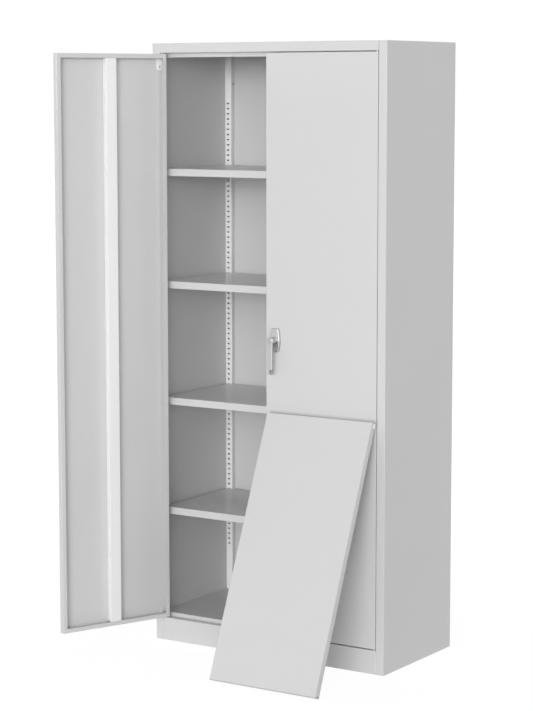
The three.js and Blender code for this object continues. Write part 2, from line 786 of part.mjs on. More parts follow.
function doorGroup(sideName, side) {
  const inward = -side;
  const group = new THREE.Group();
  group.position.set(side * hingeX, hingeSetback, 0);
  const isRight = side > 0;
  const lockX = handleX - hingeX;
  const rodY = rodSetback - hingeSetback;
  const rodHole = rodRadius + gap;
  const spindleHole = spindleSize * Math.SQRT1_2 + 2 * gap;
  const skinFront = -hingeSetback - overrun;
  const lockHoles = [
    roundBar("y", spindleHole, skinFront, skinFront + sheet + 2 * overrun, lockX, handleHeight),
    roundBar("z", rodHole, doorBottom - overrun, doorBottom + sheet + overrun, lockX, rodY),
    roundBar("z", rodHole, doorTop - sheet - overrun, doorTop + overrun, lockX, rodY),
  ];
  group.add(
    doorPan(`door_${sideName}`, inward, isRight ? lockHoles : []),
    doorStiffener(`door_stiffener_${sideName}`, inward),
    hingeBracket(`hinge_bracket_${sideName}_top`, inward, 1, upperStrapLength, "whitePaint"),
    hingeBracket(`hinge_bracket_${sideName}_bottom`, inward, -1, lowerStrapLength, "greyPowderCoat"),
    hingePin(`hinge_pin_${sideName}_top`, 1),
    hingePin(`hinge_pin_${sideName}_bottom`, -1),
  );
  return group;
}

function lockGroup() {
  const group = new THREE.Group();
  group.position.set(handleX, 0, handleHeight);
  group.add(
    handlePlate(),
    handleLever(),
    keyPlug(),
    lockSpindle(),
    lockCam(),
    lockRod("lock_rod_upper", 1),
    lockRod("lock_rod_lower", -1),
    rodGuide("rod_guide_upper", 1),
    rodGuide("rod_guide_lower", -1),
  );
  return group;
}

const sides = [["left", -1], ["right", 1]];
const cabinet = new THREE.Group();

for (const [sideName, side] of sides) {
  cabinet.add(sidePanel(`side_panel_${sideName}`, side));
  cabinet.add(upright(`upright_front_${sideName}`, side, true));
  cabinet.add(upright(`upright_rear_${sideName}`, side, false));
}
cabinet.add(backPanel(), topPanel(), baseRail(), floorPan());

shelfSeatSlots.forEach((seatSlot, index) => {
  const name = `shelf_${index + 1}`;
  const mesh = shelf(name);
  mesh.position.set(0, (shelfFront + shelfBack) / 2, shelfTopAt(seatSlot));
  cabinet.add(mesh);
  for (const [sideName, side] of sides) {
    const x = side * (sideInner - uprightWidth / 2);
    const frontClip = shelfClip(`${name}_clip_front_${sideName}`);
    frontClip.position.set(x, frontUprightFace, slotAt(seatSlot));
    frontClip.rotation.z = Math.PI;
    const rearClip = shelfClip(`${name}_clip_rear_${sideName}`);
    rearClip.position.set(x, rearUprightFace, slotAt(seatSlot));
    cabinet.add(frontClip, rearClip);
  }
});

const leftDoor = doorGroup("left", -1);
leftDoor.rotation.z = -leftDoorOpening;
const rightDoor = doorGroup("right", 1);
cabinet.add(leftDoor, rightDoor, lockGroup(), spareShelf());

export default cabinet;
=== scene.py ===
import json
from math import atan2, copysign, cos, pi, radians, sin, sqrt, tan

import bmesh
import bpy
from bpy.props import FloatProperty, FloatVectorProperty, IntProperty, PointerProperty
from mathutils import Matrix, Vector


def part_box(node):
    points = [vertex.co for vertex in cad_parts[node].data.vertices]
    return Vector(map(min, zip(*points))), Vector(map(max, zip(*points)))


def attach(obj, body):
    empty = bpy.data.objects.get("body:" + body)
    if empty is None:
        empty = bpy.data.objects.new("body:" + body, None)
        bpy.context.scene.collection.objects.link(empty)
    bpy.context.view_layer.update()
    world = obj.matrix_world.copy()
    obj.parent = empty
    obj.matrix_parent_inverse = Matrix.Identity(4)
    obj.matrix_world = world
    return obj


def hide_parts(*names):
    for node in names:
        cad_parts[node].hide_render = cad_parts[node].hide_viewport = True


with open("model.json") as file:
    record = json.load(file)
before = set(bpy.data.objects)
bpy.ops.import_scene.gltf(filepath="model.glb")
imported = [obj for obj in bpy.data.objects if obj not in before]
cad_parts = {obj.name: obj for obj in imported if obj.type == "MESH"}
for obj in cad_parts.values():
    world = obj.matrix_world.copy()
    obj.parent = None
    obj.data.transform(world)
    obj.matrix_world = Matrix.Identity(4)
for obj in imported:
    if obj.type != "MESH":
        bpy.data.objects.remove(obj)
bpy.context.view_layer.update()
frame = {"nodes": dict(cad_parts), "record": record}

bl_info = {
    "name": "Storage Cupboard Looks",
    "version": (1, 0, 0),
    "blender": (4, 5, 0),
    "location": "3D View > Sidebar > Cupboard",
    "description": "Dresses the storage cupboard with finishes, fine edges, fasteners and its handle",
    "category": "Object",
}

MM = 0.001
NODES = frame["nodes"]
SLOT_OF = {row["node"]: row["material_slot"] for row in frame["record"]["subparts"]}
SIDES = {"left": -1, "right": 1}
INWARDS = (-pi / 2, 0, 0)  # Turns a head made about z so that it stands up towards the back
ROUND = 40  # Sides of the handle's round parts
PICTURE_HEIGHT = 711


# Sizes and colours that a user would change

def a_length(name, description, default, **limits):
    return FloatProperty(name=name, description=description, default=default, subtype="DISTANCE", **limits)


def an_angle(name, description, degrees):
    return FloatProperty(name=name, description=description, default=radians(degrees), subtype="ANGLE")


def a_share(name, description, default):
    return FloatProperty(name=name, description=description, default=default, min=0, max=1)


def a_power(name, description, default):
    return FloatProperty(name=name, description=description, default=default, min=0)


def a_colour(name, description, default):
    return FloatVectorProperty(
        name=name, description=description, default=default, subtype="COLOR", min=0, max=1)


class FinishSizes(bpy.types.PropertyGroup):
    """Colours, gloss and grain of the four finishes."""

    coat_colour: a_colour("Powder coat", "Light grey coat of the sheet metal", (0.66, 0.66, 0.66))
    coat_roughness: a_share("Coat roughness", "Gloss of the powder coat under its smooth skin", 0.5)
    enamel_colour: a_colour(
        "White enamel", "Uprights, stiffeners and upper hinge brackets", (0.915, 0.915, 0.915))
    enamel_roughness: a_share("Enamel roughness", "Gloss of the white enamel under its skin", 0.5)
    chrome_colour: a_colour("Chrome", "Handle and its plate", (0.54, 0.54, 0.54))
    chrome_roughness: a_share("Chrome roughness", "Satin of the chrome", 0.34)
    zinc_colour: a_colour("Zinc", "Clips, pins and lock works", (0.58, 0.585, 0.59))
    zinc_roughness: a_share("Zinc roughness", "Gloss of the zinc plate", 0.34)
    peel_size: a_length("Orange peel", "Size of the powder coat's ripples", 1.6 * MM, min=0.1 * MM)
    edge_radius: a_length("Edge radius", "Rounding of the cut sheet edges", 0.2 * MM, min=0)


class LadderSizes(bpy.types.PropertyGroup):
    """The slotted uprights."""

    slots: IntProperty(name="Slots", description="Slots in an upright", default=88, min=1)
    pitch: a_length("Pitch", "Step from slot to slot", 16 * MM)
    lowest: a_length("Lowest slot", "Height of the lowest slot's middle", 229.5 * MM)
    slot_width: a_length("Slot width", "Slot across the upright", 9 * MM)
    slot_height: a_length("Slot height", "Slot along the upright", 4.6 * MM)
    slot_corner: a_length("Slot corner", "Corner radius of a slot", 0.8 * MM)
    thickness: a_length("Sheet", "Thickness of the upright's sheet", 1.2 * MM)
    bend_radius: a_length("Bend radius", "Inner radius of its bends", 0.6 * MM)


class FastenerSizes(bpy.types.PropertyGroup):
    """Rivets and screws, and the pads of the spare shelf."""

    head_steps: IntProperty(name="Head steps", description="Sides of a head", default=20, min=8)
    rivet_radius: a_length("Rivet radius", "Pan heads that hold the rear uprights", 4.6 * MM)
    rivet_height: a_length("Rivet height", "Head over the sheet", 3.6 * MM)
    lower_rivet: a_length("Lower rivet", "Height of the lower rivets of the rear uprights", 118 * MM)
    upper_rivet: a_length("Upper rivet", "Height of the upper rivets of the rear uprights", 1682 * MM)
    eyelet_radius: a_length("Eyelet radius", "Hollow rivets of the hinge brackets", 3.3 * MM)
    eyelet_bore: a_length("Eyelet bore", "Radius of the hollow rivets' bores", 2 * MM)
    strap_hole: a_length("Strap hole", "From a bracket strap's end to its hole", 10.5 * MM)
    strap_width: a_length("Strap width", "Width of a bracket's strap", 17 * MM)
    strap_sheet: a_length("Strap sheet", "Thickness of a bracket's strap", 2.5 * MM)
    door_open: an_angle("Left door's opening", "How far the left door stands open", 112)
    flat_radius: a_length("Flat rivet radius", "Low rivets on the back panel", 3.6 * MM)
    flat_height: a_length("Flat rivet height", "Head over the back panel", 0.9 * MM)
    back_edge: a_length("Back edge", "From the back panel's edge to its rivets", 20.4 * MM)
    screw_radius: a_length("Screw radius", "Button heads of the lock's screws", 4 * MM)
    screw_height: a_length("Screw height", "Button heads over their seats", 2.4 * MM)
    foot_sheet: a_length("Guide sheet", "Thickness of a rod guide's feet", 1.5 * MM)
    shelf_lean: an_angle("Spare shelf's lean", "How far the spare shelf leans from upright", 22.7)
    pad_length: a_length("Pad length", "Corner pad down the spare shelf", 14 * MM)
    pad_width: a_length("Pad width", "Corner pad across the shelf's lip", 12 * MM)
    pad_thickness: a_length("Pad thickness", "Corner pad over the lip", 0.9 * MM)


class HandleSizes(bpy.types.PropertyGroup):
    """The swing handle."""

    axis_x: a_length("Axis X", "Place of the lever's axis across the front", 34.5 * MM)
    axis_z: a_length("Axis height", "Height of the lever's axis", 944.5 * MM)
    plate_height: a_length("Plate height", "Height of the escutcheon", 69 * MM)
    plate_end: a_length("Plate end width", "Width of the escutcheon at its ends", 22 * MM)
    plate_middle: a_length("Plate middle width", "Width of the escutcheon at its middle", 34 * MM)
    plate_depth: a_length("Plate depth", "How far the escutcheon stands out", 9 * MM)
    lever_reach: a_length("Lever reach", "From the axis to the lever's end", 99.5 * MM)
    lever_width: a_length("Lever width", "Width of the arm at the boss", 16 * MM)
    lever_front: a_length("Lever front", "How far the lever stands out from the door", 34 * MM)
    lever_depth: a_length("Lever depth", "Thickness of the arm", 7 * MM)
    boss_radius: a_length("Boss radius", "Round boss on the axis", 10.5 * MM)


class StageSizes(bpy.types.PropertyGroup):
    """Camera, lamps and floor."""

    lens_pixels: FloatProperty(
        name="Focal length in pixels", description="Measured from the cupboard's edges in the photograph",
        default=2167.2)
    camera: FloatVectorProperty(
        name="Camera place", description="Where the camera stands, in metres", subtype="XYZ",
        default=(3.4155, -5.2398, 1.6678))
    azimuth: an_angle("Azimuth", "Camera's bearing from the front", 33.083)
    elevation: an_angle("Elevation", "How far the camera looks down", 7.025)
    roll: an_angle("Roll", "Turn of the picture", -0.05)
    front_lamp: a_power("Front lamp", "Broad soft lamp in front, a little to the right", 1.27)
    inner_lamp: a_power("Inner lamp", "Lower and narrower lamp that reaches into the compartments", 1.72)
    left_lamp: a_power("Left lamp", "Soft lamp at the left", 0.6)
    right_lamp: a_power("Right lamp", "Soft lamp at the right", 0.28)
    front_spread: an_angle("Front lamp's spread", "How broad the front lamp looks from the cupboard", 48)
    narrow_spread: an_angle("Other lamps' spread", "How broad the other lamps look from the cupboard", 26)
    world_level: a_power("World level", "Even light from all round", 0.443)
    floor_colour: a_colour("Floor colour", "Paint of the floor", (0.97, 0.97, 0.97))
    floor_glow: a_power("Floor glow", "Brightness of the backdrop that the floor runs into", 1.05)
    floor_shadow: a_share("Floor shadow", "How little of that glow shows close to the cupboard", 0.1)
    floor_reach: a_length("Floor reach", "From the cupboard to the floor's edges", 80)
    floor_near: a_length("Floor near", "How far from the middle the floor's own shading lasts", 0.5)
    floor_fade: a_length("Floor fade", "How far from the middle the floor has run into the backdrop", 2.4)


def sizes(name):
    return getattr(bpy.context.scene, name)


# Node trees written as Python sums

def both_forms(operation):
    """An operator on a signal and a value, and its reflected form."""
    return (lambda signal, other: signal.math(operation, signal, other),
            lambda signal, other: signal.math(operation, other, signal))


class Signal:
    """An output socket that can stand in a Python expression on values."""

    __add__, __radd__ = both_forms("ADD")
    __sub__, __rsub__ = both_forms("SUBTRACT")
    __mul__, __rmul__ = both_forms("MULTIPLY")

    def __init__(self, recipe, socket):
        self.recipe = recipe
        self.socket = socket

    def math(self, operation, *values):
        return self.recipe.node("ShaderNodeMath", dict(enumerate(values)), operation=operation)["Value"]

    def __lt__(self, other):
        return self.math("LESS_THAN", self, other)

    def __abs__(self):
        return self.math("ABSOLUTE", self)

    def at_most(self, other):
        return self.math("MINIMUM", self, other)


class Made:
    """A made node, whose outputs are taken by name or number."""

    def __init__(self, recipe, node):
        self.recipe = recipe
        self.node = node

    def __getitem__(self, key):
        return Signal(self.recipe, find_socket(self.node.outputs, key))


def find_socket(sockets, key):
    if isinstance(key, int):
        return sockets[key]
    return next((socket for socket in sockets if socket.identifier == key), None) or sockets[key]


class Recipe:
    """Writes nodes into one tree."""

    def __init__(self, tree):
        self.tree = tree
        tree.nodes.clear()

    def node(self, kind, inputs=None, **settings):
        """Makes a node: its settings come first, then the values or links of its sockets."""
        made = self.tree.nodes.new(kind)
        for name, value in settings.items():
            setattr(made, name, value)
        for key, value in (inputs or {}).items():
            socket = find_socket(made.inputs, key)
            signals = value if isinstance(value, list) else [value]
            if isinstance(signals[0], Signal):
                for signal in signals:
                    self.tree.links.new(signal.socket, socket)
            else:
                socket.default_value = value
        return Made(self, made)


# Finishes

def new_finish(name):
    """A new material's recipe and its Object coordinates."""
    material = bpy.data.materials.new(name)
    material.use_nodes = True
    recipe = Recipe(material.node_tree)
    return recipe, recipe.node("ShaderNodeTexCoord")["Object"]


def close_finish(recipe, height, strength, depth, inputs):
    """Ends a finish in one shader, bumped by a height of that depth."""
    bump = recipe.node("ShaderNodeBump", {"Strength": strength, "Distance": depth, "Height": height})
    shader = recipe.node("ShaderNodeBsdfPrincipled", {**inputs, "Normal": bump["Normal"]})
    recipe.node("ShaderNodeOutputMaterial", {"Surface": shader["BSDF"]})


def noise(recipe, place, size, detail=2.0, stretch=None):
    """Even noise from 0 to 1 whose spots are about that many metres wide."""
    if stretch:
        place = recipe.node("ShaderNodeMapping", {"Vector": place, "Scale": stretch})["Vector"]
    return recipe.node("ShaderNodeTexNoise", {"Vector": place, "Scale": 1 / size, "Detail": detail})["Fac"]


def sway(value, amount):
    """Noise from 0 to 1 as a change by up to half the amount, up or down."""
    return (value - 0.5) * amount


def shaded_colour(recipe, colour, factor):
    """The colour, made lighter or darker by a value around 1."""
    grey = recipe.node("ShaderNodeCombineColor", {"Red": factor, "Green": factor, "Blue": factor})
    mixed = recipe.node(
        "ShaderNodeMix", {"Factor_Float": 1.0, "A_Color": (*colour, 1), "B_Color": grey["Color"]},
        data_type="RGBA", blend_type="MULTIPLY")
    return mixed["Result_Color"]


def within(recipe, value, low, high, soft):
    """1 where value lies between low and high, falling to 0 over a soft edge outside them."""
    rising = recipe.node("ShaderNodeMapRange", {"Value": value, "From Min": low - soft, "From Max": low})
    falling = recipe.node("ShaderNodeMapRange", {
        "Value": value, "From Min": high, "From Max": high + soft, "To Min": 1.0, "To Max": 0.0})
    return rising["Result"] * falling["Result"]


def painted_shade(recipe, place, shade_boxes):
    """How much painted shade darkens a place inside boxes, on both sides of the middle plane x = 0.

    A box is its low and high corners, how soft its edges are along x, y and z, and how dark its
    painted shade is."""
    part = recipe.node("ShaderNodeSeparateXYZ", {"Vector": place})
    painted_darkening = 0.0
    for low, high, softness, strength in shade_boxes:
        inside = strength
        for value, least, most, soft in zip((abs(part["X"]), part["Y"], part["Z"]), low, high, softness):
            inside = within(recipe, value, least, most, soft) * inside
        painted_darkening = inside + painted_darkening
    return painted_darkening


def sprayed_finish(name, colour, roughness, peel_size, peel_depth, cloud_tone, shade_boxes):
    """Sprayed and baked paint under a thin smooth skin: ripples of orange peel, fine grain, specks, and
    faint clouds of tone and gloss. The boxes darken the colour with painted shade: painted contact shadows,
    and painted shade in hollows."""
    recipe, place = new_finish(name)
    ripple = noise(recipe, place, peel_size, 1.0)
    grain = noise(recipe, place, peel_size / 5, 3.0)
    clouds = noise(recipe, place, 0.35, 2.0)
    specks = noise(recipe, place, peel_size / 2.5, 0.0)
    # Random tone from clouds and specks, darkened by painted shade inside the boxes
    tone_and_painted_shade = (1 + sway(clouds, cloud_tone) + sway(specks, 0.03)) * (1 - painted_shade(recipe, place, shade_boxes))
    close_finish(recipe, ripple * 0.8 + grain * 0.2, 0.35, peel_depth, {
        "Base Color": shaded_colour(recipe, colour, tone_and_painted_shade),
        "Roughness": roughness + sway(clouds, 0.08) + sway(grain, 0.1),
        "Specular IOR Level": 0.12,
        "Coat Weight": 0.42 + sway(clouds, 0.06),
        "Coat Roughness": 0.03,
    })


def chrome_finish(name, colour, roughness, shade_boxes):
    """Bright plate over fine polishing lines, with faint smudges; darkened by painted shade inside the
    boxes, and rougher there.
    """
    recipe, place = new_finish(name)
    painted_darkening = painted_shade(recipe, place, shade_boxes)
    lines = noise(recipe, place, 0.4 * MM, 2.0, (1, 1, 0.06))
    smudges = noise(recipe, place, 14 * MM, 3.0)
    close_finish(recipe, lines, 0.12, 0.02 * MM, {
        "Base Color": shaded_colour(recipe, colour, (1 + sway(smudges, 0.06)) * (1 - painted_darkening)),
        "Metallic": 1.0,
        "Roughness": roughness + sway(smudges, 0.1) + painted_darkening * 0.4,
    })


def zinc_finish(name, colour, roughness):
    """Zinc plate with small crystals that differ a little in tone and gloss."""
    recipe, place = new_finish(name)
    crystals = recipe.node("ShaderNodeTexVoronoi", {"Vector": place, "Scale": 1 / (2.2 * MM)})
    crystal = recipe.node("ShaderNodeSeparateColor", {"Color": crystals["Color"]})["Red"]
    dust = noise(recipe, place, 6 * MM, 3.0)
    close_finish(recipe, noise(recipe, place, 0.3 * MM, 2.0), 0.15, 0.02 * MM, {
        "Base Color": shaded_colour(recipe, colour, 0.95 + crystal * 0.1 + sway(dust, 0.08)),
        "Metallic": 1.0,
        "Roughness": roughness + sway(crystal, 0.14),
    })


def finish_for(slot):
    """The Blender material of one of the record's slots."""
    return bpy.data.materials["finish_" + slot]


# Mesh tools

def add_object(name, data):
    """A scene object at the origin, from a mesh, a lamp or a camera."""
    made = bpy.data.objects.new(name, data)
    bpy.context.scene.collection.objects.link(made)
    return made


def mesh_object(name, shape):
    """A scene object from a bmesh, with its faces turned outwards."""
    mesh = bpy.data.meshes.new(name)
    bmesh.ops.recalc_face_normals(shape, faces=shape.faces)
    shape.to_mesh(mesh)
    shape.free()
    return add_object(name, mesh)


def baked_copy(source):
    """A plain mesh object of what source shows with its modifiers; source is removed."""
    bpy.context.view_layer.update()
    shown = source.evaluated_get(bpy.context.evaluated_depsgraph_get())
    mesh = bpy.data.meshes.new_from_object(shown)
    mesh.name = name = source.name
    bpy.data.objects.remove(source)
    return add_object(name, mesh)


def joined(name, parts):
    """One object of plain meshes, with its faces turned outwards; their own objects are removed."""
    whole = bmesh.new()
    for part in parts:
        whole.from_mesh(part.data)
        bpy.data.objects.remove(part)
    return mesh_object(name, whole)


def finish_piece(piece, body, slot, *replaced):
    """Gives a made piece its finish and its body, and hides the nodes that it stands for."""
    piece.data.materials.clear()
    piece.data.materials.append(finish_for(slot))
    for polygon in piece.data.polygons:
        polygon.material_index = 0
    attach(piece, body)
    if replaced:
        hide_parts(*replaced)


def smooth_by_angle(piece, degrees):
    """Smooth faces, with edges sharper than the angle kept sharp."""
    mesh = piece.data
    mesh.polygons.foreach_set("use_smooth", [True] * len(mesh.polygons))
    mesh.set_sharp_from_angle(angle=radians(degrees))


def quads(lower, upper):
    """Corners of the faces between two closed rings of as many points."""
    return zip(lower, lower[1:] + lower[:1], upper[1:] + upper[:1], upper)


def loft(name, rings):
    """A closed body over rings of points, each with as many points."""
    shape = bmesh.new()
    made = [[shape.verts.new(point) for point in ring] for ring in rings]
    for lower, upper in zip(made, made[1:]):
        for quad in quads(lower, upper):
            shape.faces.new(quad)
    shape.faces.new(made[0][::-1])
    shape.faces.new(made[-1])
    return mesh_object(name, shape)


def turned(name, rows, steps):
    """A closed round body about z; each row is a radius and a height, from the bottom up."""
    turns = [2 * pi * step / steps for step in range(steps)]
    return loft(name, [[(radius * cos(t), radius * sin(t), z) for t in turns] for radius, z in rows])


def rounded_box(half, radius, steps):
    """Outline of a rounded rectangle of half sizes, anticlockwise."""
    points = []
    for quarter, (sign_x, sign_y) in enumerate(((1, 1), (-1, 1), (-1, -1), (1, -1))):
        for step in range(steps + 1):
            angle = (quarter + step / steps) * pi / 2
            points.append((
                sign_x * (half[0] - radius) + radius * cos(angle),
                sign_y * (half[1] - radius) + radius * sin(angle)))
    return points


def moved(piece, matrix):
    piece.data.transform(matrix)
    return piece


def modify(piece, kind, **settings):
    """Adds a modifier with these settings."""
    modifier = piece.modifiers.new(kind.lower(), kind)
    for name, value in settings.items():
        setattr(modifier, name, value)


def combine(piece, tool, operation):
    """Joins or cuts piece with tool, exactly, and removes tool."""
    modify(piece, "BOOLEAN", operation=operation, solver="EXACT", object=tool)
    made = baked_copy(piece)
    bpy.data.objects.remove(tool)
    return made


def eased(piece, width, corner):
    """The piece with smooth faces and its corners rounded, where they turn by more than corner degrees."""
    modify(piece, "BEVEL", width=width, segments=2, limit_method="ANGLE", angle_limit=radians(corner))
    piece = baked_copy(piece)
    smooth_by_angle(piece, 40)
    return piece


# Geometry Nodes trees

def new_tree(name, **inputs):
    """A geometry tree with named inputs; returns its recipe and its input node."""
    tree = bpy.data.node_groups.new(name, "GeometryNodeTree")
    for label, kind in {"Geometry": "Geometry", **inputs}.items():
        tree.interface.new_socket(label, in_out="INPUT", socket_type="NodeSocket" + kind)
    tree.interface.new_socket("Geometry", in_out="OUTPUT", socket_type="NodeSocketGeometry")
    recipe = Recipe(tree)
    return recipe, recipe.node("NodeGroupInput")


def close_tree(recipe, geometry, finish):
    """Ends a tree in real geometry with its finish."""
    solid = recipe.node("GeometryNodeRealizeInstances", {"Geometry": geometry})
    finished = recipe.node("GeometryNodeSetMaterial", {"Geometry": solid["Geometry"], "Material": finish})
    recipe.node("NodeGroupOutput", {0: finished["Geometry"]})
    return recipe.tree


def use_tree(piece, tree, values):
    """Adds the tree to piece as a modifier and sets its inputs by their identifiers."""
    modifier = piece.modifiers.new(tree.name, "NODES")
    modifier.node_group = tree
    for item in tree.interface.items_tree:
        if item.item_type == "SOCKET" and item.in_out == "INPUT" and item.name in values:
            modifier[item.identifier] = values[item.name]


def soft_shade_tree():
    """Smooth shading over shallow bends, with sharp corners kept."""
    recipe, given = new_tree("Soft shade", Corner="Float", Finish="Material")
    angle = recipe.node("GeometryNodeInputMeshEdgeAngle")["Unsigned Angle"]
    shaded = given["Geometry"]
    for domain, smooth in (("FACE", True), ("EDGE", angle < given["Corner"])):
        inputs = {"Geometry": shaded, "Shade Smooth": smooth}
        shaded = recipe.node("GeometryNodeSetShadeSmooth", inputs, domain=domain)["Geometry"]
    return close_tree(recipe, shaded, given["Finish"])


def copies_in_row(recipe, piece, count, start, step, turn=(0, 0, 0)):
    """Instances of an object at the places of a straight row."""
    places = recipe.node(
        "GeometryNodeMeshLine", {"Count": count, "Start Location": start, "Offset": step}, mode="OFFSET")
    shape = recipe.node("GeometryNodeObjectInfo", {"Object": piece})["Geometry"]
    return recipe.node("GeometryNodeInstanceOnPoints", {
        "Points": places["Mesh"], "Instance": shape, "Rotation": turn})["Instances"]


def ladder_tree():
    """Repeats one slice of the slotted channel up the upright and closes it with its plain ends."""
    recipe, given = new_tree("Slot ladder", Slots="Int", Pitch="Float", Lowest="Float",
                             Slice="Object", Ends="Object", Finish="Material")
    start, step = (recipe.node("ShaderNodeCombineXYZ", {"Z": given[name]})["Vector"]
                   for name in ("Lowest", "Pitch"))
    slices = copies_in_row(recipe, given["Slice"], given["Slots"], start, step)
    ends = recipe.node("GeometryNodeObjectInfo", {"Object": given["Ends"]})["Geometry"]
    whole = recipe.node("GeometryNodeJoinGeometry", {"Geometry": [ends, slices]})
    solid = recipe.node("GeometryNodeRealizeInstances", {"Geometry": whole["Geometry"]})
    merged = recipe.node(
        "GeometryNodeMergeByDistance", {"Geometry": solid["Geometry"], "Distance": 0.01 * MM})
    return close_tree(recipe, merged["Geometry"], given["Finish"])


def row_tree():
    """Sets a head at each place of a straight row."""
    recipe, given = new_tree("Fastener row", Count="Int", Start="Vector", Step="Vector",
                             Turn="Vector", Head="Object", Finish="Material")
    turn = recipe.node("FunctionNodeEulerToRotation", {"Euler": given["Turn"]})["Rotation"]
    heads = copies_in_row(recipe, given["Head"], given["Count"], given["Start"], given["Step"], turn)
    return close_tree(recipe, heads, given["Finish"])


def empty_mesh(name):
    return mesh_object(name, bmesh.new())


# Uprights

def left_of(way):
    return Vector((-way.y, way.x))


def offset_profile(path, thickness, inner_radius, steps):
    """Closed outline of a sheet folded along path, with round bends."""
    corners = [Vector(point) for point in path]
    radius = inner_radius + thickness / 2
    ways = [(after - before).normalized() for before, after in zip(corners, corners[1:])]
    line = [(corners[0], ways[0])]
    for corner, arriving, leaving in zip(corners[1:], ways, ways[1:]):
        turn = atan2(arriving.x * leaving.y - arriving.y * leaving.x, arriving.dot(leaving))
        reach = copysign(radius, turn)
        setback = abs(radius * tan(turn / 2))
        centre = corner - arriving * setback + left_of(arriving) * reach
        for step in range(steps + 1):
            way = Matrix.Rotation(turn * step / steps, 2) @ arriving
            line.append((centre - left_of(way) * reach, way))
    line.append((corners[-1], ways[-1]))
    left = [place + left_of(way) * thickness / 2 for place, way in line]
    right = [place - left_of(way) * thickness / 2 for place, way in line]
    return left + right[::-1]


def web_edges(outline, web_y, thickness):
    """Numbers of the two long outline edges that run along the web, front and back."""
    found = []
    for index, (point, other) in enumerate(zip(outline, outline[1:] + outline[:1])):
        along = abs(other.y - point.y) < 0.0001 * MM and abs(point.y - web_y) < thickness
        if along and abs(other.x - point.x) > 8 * thickness:
            found.append(index)
    return found


def channel_rings(shape, outline, low, high):
    return [[shape.verts.new((point.x, point.y, z)) for point in outline] for z in (low, high)]


def slotted_slice(outline, edges, slot_x, ladder):
    """One pitch of the channel, open at its ends, with a slot through its web."""
    shape = bmesh.new()
    half = ladder.pitch / 2
    slot = rounded_box((ladder.slot_width / 2, ladder.slot_height / 2), ladder.slot_corner, 3)
    rings = []
    for index, corners in enumerate(quads(*channel_rings(shape, outline, -half, half))):
        if index not in edges:
            shape.faces.new(corners)
            continue
        ring = [shape.verts.new((slot_x + dx, outline[index].y, dz)) for dx, dz in slot]
        fill_around(shape, corners, ring, slot_x)
        rings.append(ring)
    for quad in quads(*rings):
        shape.faces.new(quad)
    return shape


def fill_around(shape, corners, ring, middle):
    """Faces between a rectangle and the rounded slot inside it."""
    signs = [(1, 1), (-1, 1), (-1, -1), (1, -1)]
    outer = [next(v for v in corners if (v.co.x - middle) * sign_x > 0 and v.co.z * sign_z > 0)
             for sign_x, sign_z in signs]
    per_corner = len(ring) // 4
    for number, corner in enumerate(outer):
        arc = ring[number * per_corner:(number + 1) * per_corner]
        for near, far in zip(arc, arc[1:]):
            shape.faces.new((corner, near, far))
        following = ring[((number + 1) * per_corner) % len(ring)]
        shape.faces.new((corner, arc[-1], following, outer[(number + 1) % 4]))


def plain_ends(outline, low, first, last, high):
    """The plain lower and upper lengths of the channel, closed at their outer ends."""
    shape = bmesh.new()
    half = len(outline) // 2
    for near, far, closed in ((low, first, 0), (last, high, 1)):
        rings = channel_rings(shape, outline, near, far)
        for quad in quads(*rings):
            shape.faces.new(quad)
        end = rings[closed]
        for strip in zip(end, end[1:half], end[-2::-1], end[::-1]):
            shape.faces.new(strip)
    return shape


def build_upright(node, tree):
    ladder = sizes("cupboard_ladder")
    side_name = node.split("_")[-1]
    low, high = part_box(node)
    half = ladder.thickness / 2
    web_y, flange_end = (high.y - half, low.y) if "front" in node else (low.y + half, high.y)
    inner, outer = (low.x + half, high.x - half)[::SIDES[side_name]]
    path = [(outer, flange_end), (outer, web_y), (inner, web_y), (inner, flange_end)]
    outline = offset_profile(path, ladder.thickness, ladder.bend_radius, 5)
    edges = web_edges(outline, web_y, ladder.thickness)
    rear_low, rear_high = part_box(f"upright_rear_{side_name}")
    slot_x = (rear_low.x + rear_high.x) / 2
    first = ladder.lowest - ladder.pitch / 2
    last = first + ladder.slots * ladder.pitch
    slice_piece = mesh_object(f"{node}_slice", slotted_slice(outline, edges, slot_x, ladder))
    end_piece = mesh_object(f"{node}_ends", plain_ends(outline, low.z, first, last, high.z))
    upright = empty_mesh(f"{node}_slotted")
    use_tree(upright, tree, {
        "Slots": ladder.slots, "Pitch": ladder.pitch, "Lowest": ladder.lowest,
        "Slice": slice_piece, "Ends": end_piece, "Finish": finish_for("white_paint")})
    upright = joined(upright.name, [baked_copy(upright)])
    for used in (slice_piece, end_piece):
        bpy.data.objects.remove(used)
    smooth_by_angle(upright, 35)
    finish_piece(upright, "cabinet", "white_paint", node)


# Fasteners

def rivet_head(name, radius, height, steps):
    """Solid pan head: a straight flank under a rounded top."""
    rows = [(radius, 0), (radius, height * 0.5)]
    rows += [(radius * (0.55 + 0.45 * cos(t)), height * (0.5 + 0.5 * sin(t)))
             for t in map(radians, (20, 40, 60, 80))]
    return turned(name, rows, steps)


def eyelet(name, radius, bore, depth, steps):
    """Hollow rivet: a rolled flange round a bore of that depth."""
    wall = radius - bore
    rows = [(bore + 0.3 * wall, 0.2 * MM - depth), (bore + 0.3 * wall, 0), (radius, 0), (radius, 0.2 * wall)]
    rows += [(bore + wall / 2 * (1 + cos(t)), wall * (0.2 + 0.4 * sin(t)))
             for t in map(radians, (30, 60, 90, 120, 150))]
    rows += [(bore, 0), (bore, 0.3 * MM - depth)]
    return turned(name, rows, steps)


def screw_head(name, radius, height, steps):
    """Low button head with a hexagon socket."""
    socket = radius * 0.48
    rows = [(radius, 0), (radius, height * 0.2), (radius * 0.94, height * 0.55),
            (radius * 0.78, height * 0.88), (radius * 0.6, height)]
    cutter = turned(name + "_socket", [(socket, height * 0.3), (socket, height * 2)], 6)
    head = combine(turned(name, rows, steps), cutter, "DIFFERENCE")
    smooth_by_angle(head, 40)
    return head


